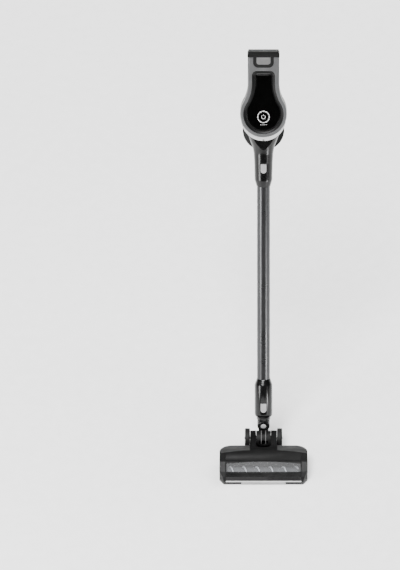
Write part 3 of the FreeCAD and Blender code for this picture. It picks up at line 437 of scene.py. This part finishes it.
def keyhole(radius, centre, half, flare, top, corner, steps=24):
    """Points (x, z) of a circle that flows through concave arcs into a round-cornered block."""
    rise = math.sqrt((radius + flare) ** 2 - (half + flare) ** 2)
    side, level = half + flare, centre + rise
    lean = math.atan2(rise, side)
    right = []
    for i in range(3 * steps):
        t = -math.pi / 2 + (lean + math.pi / 2) * i / (3 * steps)
        right.append((radius * math.cos(t), centre + radius * math.sin(t)))
    for i in range(steps):
        t = math.pi + lean - lean * i / steps
        right.append((side + flare * math.cos(t), level + flare * math.sin(t)))
    for i in range(steps):
        share = i / steps
        right.append((half, level + (top - corner - level) * share))
    for i in range(steps + 1):
        t = math.pi / 2 * i / steps
        right.append((half - corner + corner * math.cos(t), top - corner + corner * math.sin(t)))
    left = [(-x, z) for x, z in reversed(right[1:])]
    return right + left


# ---- handheld unit: panel, bezel and gauge -------------------------------------------------------
bezel_low, bezel_high = stick_box("panel_bezel")
panel_low, panel_high = stick_box("front_panel")
PANEL_Z = panel_low.z + panel_high.x
BEZEL_Z = bezel_low.z + bezel_high.x
BEZEL_HALF, BEZEL_FLARE, BEZEL_CORNER = 31.2, 110, 13
PANEL_CORNER = 7
CHANNEL = bezel_high.x - panel_high.x


def panel_ring(inset, y):
    """The panel's outline, drawn in by inset, at depth y."""
    outline = keyhole(panel_high.x - inset, PANEL_Z, BEZEL_HALF - CHANNEL - inset,
                      BEZEL_FLARE + CHANNEL + inset, panel_high.z - inset,
                      PANEL_CORNER - inset * 0.5)
    return [(x, y, z) for x, z in outline]


def bezel_ring(inset, y):
    """The bezel's outline, drawn in by inset, at depth y."""
    outline = keyhole(bezel_high.x - inset, BEZEL_Z, BEZEL_HALF - inset, BEZEL_FLARE + inset,
                      bezel_high.z - inset, BEZEL_CORNER - inset * 0.5)
    return [(x, y, z) for x, z in outline]


face = panel_low.y
glass = [panel_ring(0, panel_high.y), panel_ring(0, face + 1.2), panel_ring(0.35, face + 0.5),
         panel_ring(1.1, face + 0.1), panel_ring(2.4, face - 0.1)]
points, faces = rings_mesh(glass)
build("display_glass", points, faces, "main_unit", "gloss_black", look="glass_black",
      stands_for=["front_panel"])

channel = [bezel_ring(0, bezel_high.y), bezel_ring(0, bezel_low.y - 0.9),
           bezel_ring(0.7, bezel_low.y - 1.3), bezel_ring(1.8, bezel_low.y - 1.0),
           bezel_ring(3.2, bezel_low.y + 0.6), bezel_ring(5.2, bezel_low.y + 2.0)]
inner = [panel_ring(-2.6, bezel_low.y + 2.2), panel_ring(-1.0, bezel_low.y + 1.2),
         panel_ring(-0.2, bezel_low.y + 0.2), panel_ring(-0.15, bezel_high.y), channel[0]]
points, faces = rings_mesh(channel + inner, caps=(False, False))
build("bezel_ring", points, faces, "main_unit", "bezel_dark", stands_for=["panel_bezel"])


def arc_plate(radius, width, start, end, centre, low, high, steps=8):
    """A flat curved bar in the front face, between two angles."""
    rings = []
    for i in range(steps + 1):
        t = math.radians(start + (end - start) * i / steps)
        rings.append([(centre[0] + r * math.cos(t), y, centre[1] + r * math.sin(t))
                      for r, y in ((radius, low), (radius + width, low), (radius + width, high),
                                   (radius, high))])
    return rings_mesh(rings)


# A ring of short bars round a power sign, over a row of dashes.
SIGN = (0, PANEL_Z - 7)
SIGN_FRONT, SIGN_BACK = face - 0.3, face - 0.05
RING_BARS, BAR_HALF_ANGLE, DASHES = 12, 12, 5
gauge = []
for i in range(RING_BARS):
    angle = 90 - 360 / RING_BARS * i
    gauge.append(arc_plate(14.5, 2.2, angle - BAR_HALF_ANGLE, angle + BAR_HALF_ANGLE, SIGN,
                           SIGN_FRONT, SIGN_BACK))
gauge.append(arc_plate(4.6, 1.1, -232, 52, SIGN, SIGN_FRONT, SIGN_BACK, 32))
gauge.append(block((-0.55, SIGN_FRONT, PANEL_Z - 3.6), (0.55, SIGN_BACK, PANEL_Z - 0.4)))
for i in range(DASHES):
    gauge.append(block((-9 + 4 * i, SIGN_FRONT, PANEL_Z - 29),
                       (-7 + 4 * i, SIGN_BACK, PANEL_Z - 28)))
points, faces = joined(gauge)
build("display_gauge", points, faces, "main_unit", "light_key", look="glyph_light")

trim_low, _ = stick_box("chrome_trim")
clip = [(-3.4, -0.2), (3.4, -0.2), (2.0, 4.6), (-2.0, 4.6)]
points = [(x, trim_low.y + y, trim_low.z + z) for y in (-0.3, 4) for x, z in clip]
faces = [(0, 1, 2, 3), (7, 6, 5, 4), (0, 4, 5, 1), (1, 5, 6, 2), (2, 6, 7, 3), (3, 7, 4, 0)]
build("trim_clip", points, faces, "main_unit", "light_key", look="grey_key", bevel=0.4)

# ---- handheld unit: lid face, cup hoops, grip ribs and key ribs ----------------------------------
lid_low, lid_high = stick_box("cup_lid")
cup_low, cup_high = stick_box("dust_cup")
LID_RADIUS = lid_high.x
LID_Z = lid_low.z + LID_RADIUS
outer = lid_high.y
profile = [(0.01, outer - 2), (0.01, outer + 1.0), (9, outer + 0.9), (15, outer + 0.4),
           (16.5, outer - 0.1), (19, outer - 0.1), (20.5, outer + 0.9), (38, outer + 0.6),
           (43, outer + 0.1), (44.5, outer - 0.3), (46.5, outer - 0.3), (48, outer + 0.8),
           (52, outer + 0.6), (LID_RADIUS - 1.2, outer - 0.3), (LID_RADIUS - 1.2, outer - 2)]
points, faces = lathe(profile, "y", (0, 0, LID_Z))
build("lid_face", points, faces, "lid", "dark_shell", look="head_cheek")
LID_RIBS = 24
bars = []
for i in range(LID_RIBS):
    t = 2 * math.pi * i / LID_RIBS
    corner = [(r * math.cos(t + w / r), outer + y, LID_Z + r * math.sin(t + w / r))
              for r in (22.5, 36.5) for y in (0.3, 1.5) for w in (-0.7, 0.7)]
    bars.append((corner, BOX_FACES))
points, faces = joined(bars)
build("lid_ribs", points, faces, "lid", "dark_shell", look="head_dark", bevel=0.25)

CUP_RADIUS = cup_high.x


def hoop(name, y, width, lift):
    """A thin hoop round the dust cup."""
    inside, outside = CUP_RADIUS - 0.4, CUP_RADIUS + lift
    profile = [(inside, y), (outside - 0.3, y), (outside, y + 0.3), (outside, y + width - 0.3),
               (outside - 0.3, y + width), (inside, y + width)]
    points, faces = lathe(profile, "y", (0, 0, LID_Z), 144)
    build(name, points, faces, "main_unit", "dark_shell", look="head_cheek")


hoop("cup_front_hoop", cup_low.y + 0.6, 3.2, 1.1)
hoop("cup_rear_hoop", lid_low.y - 7.2, 2.4, 0.9)

grip_low, grip_high = stick_box("grip_insert")
GRIP_RIBS, GRIP_SLANT = 13, 3.7
ribs = []
for i in range(GRIP_RIBS):
    share = (i + 0.5) / GRIP_RIBS
    z = grip_low.z + (grip_high.z - grip_low.z) * share
    y = grip_high.y - GRIP_SLANT * (1 - share)
    ribs.append(block((-8.2, y - 0.9, z - 1.0), (8.2, y + 0.7, z + 1.0)))
points, faces = joined(ribs)
build("grip_ribs", points, faces, "main_unit", "seal_rubber", bevel=0.45)


def key_ribs(node, body, look, drop, width):
    """Four low bars across a key, the first one drop under its top edge."""
    low, high = stick_box(node)
    pitch, thick = 2.6, 1.1
    bars = [block((-width, low.y - 0.45, high.z - drop - pitch * i - thick),
                  (width, low.y + 0.3, high.z - drop - pitch * i)) for i in range(4)]
    points, faces = joined(bars)
    build(f"{node}_ribs", points, faces, body, SLOTS[node], look=look, bevel=0.3)


key_ribs("battery_button", "battery_key", "grey_key", 4.4, 11)
key_ribs("wand_release_button", "wand_key", "light_key", 6, 4.6)
key_ribs("head_release_button", "head_key", "light_key", 6, 4.6)

# ---- wheels --------------------------------------------------------------------------------------
def tyre(node, body):
    """A grooved tyre round a dished disc, with six spokes and a hub cap on its outer side."""
    low, high = home_box(node)
    side = 1 if low.x > 0 else -1
    middle = (low + high) / 2
    half, radius = (high.x - low.x) / 2, (high.z - low.z) / 2
    out = side * half
    bore = 3.05
    profile = [(bore, out * 0.86), (7.6, out * 0.86), (8.4, out * 0.74), (8.9, out * 0.62),
               (21.2, out * 0.62), (22.4, out * 0.72), (23.2, out * 0.94), (24.4, out),
               (radius - 2.6, out), (radius - 0.9, out * 0.86), (radius - 0.1, out * 0.62),
               (radius - 0.1, out * 0.40), (radius - 0.9, out * 0.34), (radius - 0.9, out * 0.16),
               (radius, out * 0.10), (radius, -out * 0.10), (radius - 0.9, -out * 0.16),
               (radius - 0.9, -out * 0.34), (radius - 0.1, -out * 0.40),
               (radius - 0.1, -out * 0.62), (radius - 0.9, -out * 0.86), (radius - 2.6, -out),
               (11, -out), (10, -out * 0.9), (bore, -out * 0.9)]
    points, faces = lathe(profile, "x", middle)
    build(f"{body}_tyre", points, faces, body, "wheel_tyre", HOME, stands_for=[node])
    spokes = []
    for i in range(6):
        t = math.pi * i / 3
        ring = [(middle.x + out * along, middle.y + r * math.cos(t + turn),
                 middle.z + r * math.sin(t + turn))
                for r, w in ((8.5, 0.34), (21.6, 0.13)) for along in (0.62, 0.80)
                for turn in (-w, w)]
        spokes.append((ring, BOX_FACES))
    points, faces = joined(spokes)
    build(f"{body}_spokes", points, faces, body, "wheel_tyre", HOME, look="head_cheek", bevel=0.3)
    cap = [(0.01, out * 1.02), (2.2, out * 1.02), (3.6, out * 0.99), (4.4, out * 0.90),
           (4.4, out * 0.84), (0.01, out * 0.84)]
    points, faces = lathe(cap, "x", middle, 48)
    build(f"{body}_hub", points, faces, body, "steel", HOME, look="light_key")


tyre("wheel_left", "left_wheel")
tyre("wheel_right", "right_wheel")

# ---- floor head: shoulders, window, ribs ---------------------------------------------------------
ARM_HALF, HEAD_HALF, HEAD_BACK, BACK_CORNER = 37, 121.5, 54, 35
WINDOW_HALF = 103.4
# Front to back: distance along the head and height of its top over the floor.
CROWN = [(-54, 14), (-50, 25), (-40, 35.5), (-16, 50.5), (27, 53.5), (54, 46)]


def strip(name, xs, line_at, body, slot, look=None, thick=1.0, bevel=0.2, stands_for=()):
    """A plate that follows the lines that line_at(x) gives, each from its front to its back."""
    top = [line_at(x) for x in xs]
    count = len(top[0])
    rings = []
    for x, line in zip(xs, top):
        rings.append([(x, y, z) for y, z in line] + [(x, y, z - thick) for y, z in line[::-1]])
    points, faces = rings_mesh(rings)
    return build(name, points, faces, body, slot, HOME, look, bevel, stands_for)


def crown(y):
    """Height of the head's top over the floor at a distance along it."""
    for (y0, z0), (y1, z1) in zip(CROWN, CROWN[1:]):
        if y <= y1:
            return z0 + (z1 - z0) * (y - y0) / (y1 - y0)
    return CROWN[-1][1]


def plan_rear(x):
    """How far back the head reaches at a distance from its middle."""
    inner = HEAD_HALF - BACK_CORNER
    if abs(x) <= inner:
        return HEAD_BACK
    return HEAD_BACK - BACK_CORNER + math.sqrt(max(BACK_CORNER ** 2 - (abs(x) - inner) ** 2, 0))


def spaced(low, high, count):
    """count + 1 even steps from low to high."""
    return [low + (high - low) * i / count for i in range(count + 1)]


def top_line(front, rear, lift, count=4):
    """Points (y, z) along the head's top, lifted clear of it."""
    return [(y, crown(y) + lift) for y in spaced(front, rear, count)]


def ridge(x):
    """Front edge of the shoulders, which curves forward at the ends."""
    return 27.5 - 9.5 * (abs(x) / 106) ** 2.2


def shoulder(x):
    """The raised rear panel's line, which fades into the head's top at the back; the panel's lighter tone is
    painted sheen.
    """
    start, stop = ridge(x), plan_rear(x) - 0.2
    line = [(start, crown(start) + 0.2), (start + 0.8, crown(start) + 1.5)]
    for share in (0.25, 0.5, 0.75):
        y = start + (stop - start) * share
        line.append((y, crown(y) + 1.5 - 1.0 * share))
    line.append((stop, crown(stop) + 0.3))
    return line


def bow(x):
    """Share of the window's arch: 1 at its middle and 0 at its ends."""
    return 1 - (abs(x) / WINDOW_HALF) ** 2


def pane(x):
    """The see-through window's line, arched at its back and a little at its front."""
    return top_line(-40.3 - 1.3 * bow(x), -21.0 + 5.0 * bow(x), 0.5, 8)


def sill(x):
    return top_line(-43.2, -40.6 - 1.3 * bow(x), 0.3)


def lintel(x):
    return top_line(-20.8 + 5.0 * bow(x), -11.6, 0.35)


# The shoulder plates are lighter than the rest of the head's top: painted sheen on its rear slope.
for side, name in ((-1, "left"), (1, "right")):
    xs = [side * x for x in spaced(ARM_HALF + 1, 118, 40)]
    strip(f"{name}_shoulder", xs, shoulder, "head", "dark_shell", "head_shoulder_painted_sheen", 1.4, 0.0)
strip("window_pane", spaced(-102.5, 102.5, 60), pane, "head", "window_tint", thick=1.6,
      stands_for=["brush_window"])
strip("window_sill", spaced(-103.6, 103.6, 40), sill, "head", "dark_shell", "head_dark", 2.2)
strip("window_lintel", spaced(-103.6, 103.6, 40), lintel, "head", "dark_shell", "head_dark", 2.4)

BAND_RIBS, RIB_PITCH, RIB_HALF = 34, 2.55, 0.55
BAND_FACE = [(-54.35, 15.2), (-53.6, 18.2), (-51.9, 22.2), (-50.35, 25.0), (-48.4, 27.1)]
ribs = []
for i in range(BAND_RIBS):
    x = 14 + RIB_PITCH * i
    ribs.append(rings_mesh([[(x - RIB_HALF, y, z), (x + RIB_HALF, y, z),
                             (x + RIB_HALF, y + 1.2, z - 0.6), (x - RIB_HALF, y + 1.2, z - 0.6)]
                            for y, z in BAND_FACE]))
points, faces = joined(ribs)
build("band_ribs", points, faces, "head", "gloss_black", HOME, look="head_cheek")

# ---- elbow ribs, lighter grey as painted highlights, and the swivel's cap ------------------------
tilt = Vector(JOINTS["head_tilt"]["pos_m"]) / MM
pivot = PIVOT / MM
route = [(tilt.y - 20.6, tilt.z - 3), (tilt.y - 20.4, tilt.z + 5), (tilt.y - 17.6, tilt.z + 12),
         (tilt.y - 10.4, tilt.z + 17.5), (tilt.y - 6.6, tilt.z + 24),
         (tilt.y - 1.0, pivot.z - 19.4)]
# Two thin ribs down the elbow's front, in a lighter grey than the elbow: painted highlights of light on the glossy
# duct.
for side, name in ((-1, "left"), (1, "right")):
    ring = []
    for y, z in route:
        ring.append([(side * 6 + 1.1 * math.cos(t), y - 1.3 * math.sin(t) * 0.9,
                      z + 0.9 * math.sin(t)) for t in spaced(0, 2 * math.pi * 11 / 12, 11)])
    points, faces = rings_mesh(ring)
    build(f"elbow_highlight_rib_{name}", points, faces, "elbow", "dark_shell", HOME, look="grey_key")

cap_low, cap_high = home_box("pivot_cap")
radius = (cap_high.x - cap_low.x) / 2
profile = [(0.01, cap_high.y), (radius, cap_high.y), (radius, cap_low.y + 1.2),
           (radius - 1.2, cap_low.y), (radius - 6.6, cap_low.y), (radius - 7.6, cap_low.y + 0.9),
           (0.01, cap_low.y + 0.9)]
points, faces = lathe(profile, "y", (0, 0, pivot.z))
build("swivel_cap", points, faces, "connector", "dark_shell", HOME, look="gloss_black",
      stands_for=["pivot_cap"])
profile = [(0.01, cap_low.y - 0.1), (radius - 10.4, cap_low.y - 0.1),
           (radius - 9.6, cap_low.y + 0.4), (radius - 9.2, cap_low.y + 1.0),
           (0.01, cap_low.y + 1.0)]
points, faces = lathe(profile, "y", (0, 0, pivot.z))
build("swivel_badge", points, faces, "connector", "steel", HOME, look="light_key")

# ---- stage, light and camera ---------------------------------------------------------------------
def paper(name, size, height):
    """A square of plain pale paper, level, as the stage."""
    data = bpy.data.meshes.new(name)
    s = size / 2
    data.from_pydata([(-s, -s, height), (s, -s, height), (s, s, height), (-s, s, height)], [],
                     [(0, 1, 2, 3)])
    obj = bpy.data.objects.new(name, data)
    bpy.context.scene.collection.objects.link(obj)
    n = Nodes("paper")
    n.set(Base_Color=n.ramp(n.noise(n.mapped(), 30, 3), (0.3, (0.86, 0.86, 0.86)),
                            (0.7, (0.9, 0.9, 0.9))), Roughness=0.85)
    data.materials.append(n.material)
    obj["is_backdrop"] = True
    return obj


def settle(floor, corners):
    """Keeps the floor just under the lowest of these points of the head, however the head hangs."""
    driver = floor.driver_add("location", 2).driver
    driver.type = "MIN"
    for number, corner in enumerate(corners):
        marker = bpy.data.objects.new(f"foot_{number}", None)
        bpy.context.scene.collection.objects.link(marker)
        marker.location = corner
        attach(marker, "head")
        variable = driver.variables.new()
        variable.type = "TRANSFORMS"
        variable.targets[0].id = marker
        variable.targets[0].transform_type = "LOC_Z"
        variable.targets[0].transform_space = "WORLD_SPACE"


FLOOR_SIZE, FLOOR_GAP = 60, 0.0006
HEAD_SIDE, HEAD_FRONT = 0.1215, -0.0546
WHEEL_SIDE, WHEEL_REAR = 0.052, 0.132
settle(paper("floor", FLOOR_SIZE, -FLOOR_GAP),
       [(side * x, y, 0) for x, y in ((HEAD_SIDE, HEAD_FRONT), (WHEEL_SIDE, WHEEL_REAR))
        for side in (-1, 1)])


def lamp(name, place, aim, size, power):
    """A rectangular area light at place, turned towards aim."""
    data = bpy.data.lights.new(name, "AREA")
    data.shape = "RECTANGLE"
    data.size, data.size_y = size
    data.energy = power
    obj = bpy.data.objects.new(name, data)
    bpy.context.scene.collection.objects.link(obj)
    obj.location = place
    obj.rotation_mode = "QUATERNION"
    obj.rotation_quaternion = (Vector(aim) - Vector(place)).to_track_quat("-Z", "Y")


lamp("left_box", (-2.2, -1.35, 1.05), (0, 0.4, 0.75), (0.9, 1.0), 60)
lamp("right_box", (2.0, -1.55, 0.42), (0, 0.15, 0.25), (0.6, 0.6), 34)


def sun(name, azimuth, elevation, spread, power):
    """A soft distant light; azimuth 0 shines from the front, 90 from the right."""
    data = bpy.data.lights.new(name, "SUN")
    data.energy = power
    data.angle = math.radians(spread)
    obj = bpy.data.objects.new(name, data)
    bpy.context.scene.collection.objects.link(obj)
    a, e = math.radians(azimuth), math.radians(elevation)
    towards = Vector((math.sin(a) * math.cos(e), -math.cos(a) * math.cos(e), math.sin(e)))
    obj.rotation_mode = "QUATERNION"
    obj.rotation_quaternion = (-towards).to_track_quat("-Z", "Y")


sun("sky_front", -25, 66, 34, 8.0)
sun("sky_back", 128, 52, 40, 2.6)
world = bpy.data.worlds.new("studio")
bpy.context.scene.world = world
world.use_nodes = True
sky = world.node_tree.nodes["Background"]
sky.inputs["Color"].default_value = (1, 1, 1, 1)
# The sky is as pale as the floor where the camera sees it, and gives only a little light.
SKY_SEEN, SKY_LIGHT = 2.35, 0.05
rays = world.node_tree.nodes.new("ShaderNodeLightPath")
seen = world.node_tree.nodes.new("ShaderNodeMath")
seen.operation = "MULTIPLY_ADD"
seen.inputs[1].default_value, seen.inputs[2].default_value = SKY_SEEN, SKY_LIGHT
world.node_tree.links.new(rays.outputs["Is Camera Ray"], seen.inputs[0])
world.node_tree.links.new(seen.outputs[0], sky.inputs["Strength"])

ELEVATION, DISTANCE = math.radians(40), 8.69
data = bpy.data.cameras.new("camera")
camera = bpy.data.objects.new("camera", data)
bpy.context.scene.collection.objects.link(camera)
data.lens, data.sensor_width = 200, 36
data.shift_x, data.shift_y = -0.1114, -0.0473
back = Vector((0, -math.cos(ELEVATION), math.sin(ELEVATION)))
low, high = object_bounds()
aim = Vector((0, (low.y + high.y) / 2, (low.z + high.z) / 2))
camera.location = aim + back * DISTANCE
camera.rotation_mode = "QUATERNION"
camera.rotation_quaternion = (-back).to_track_quat("-Z", "Y")
bpy.context.scene.camera = camera
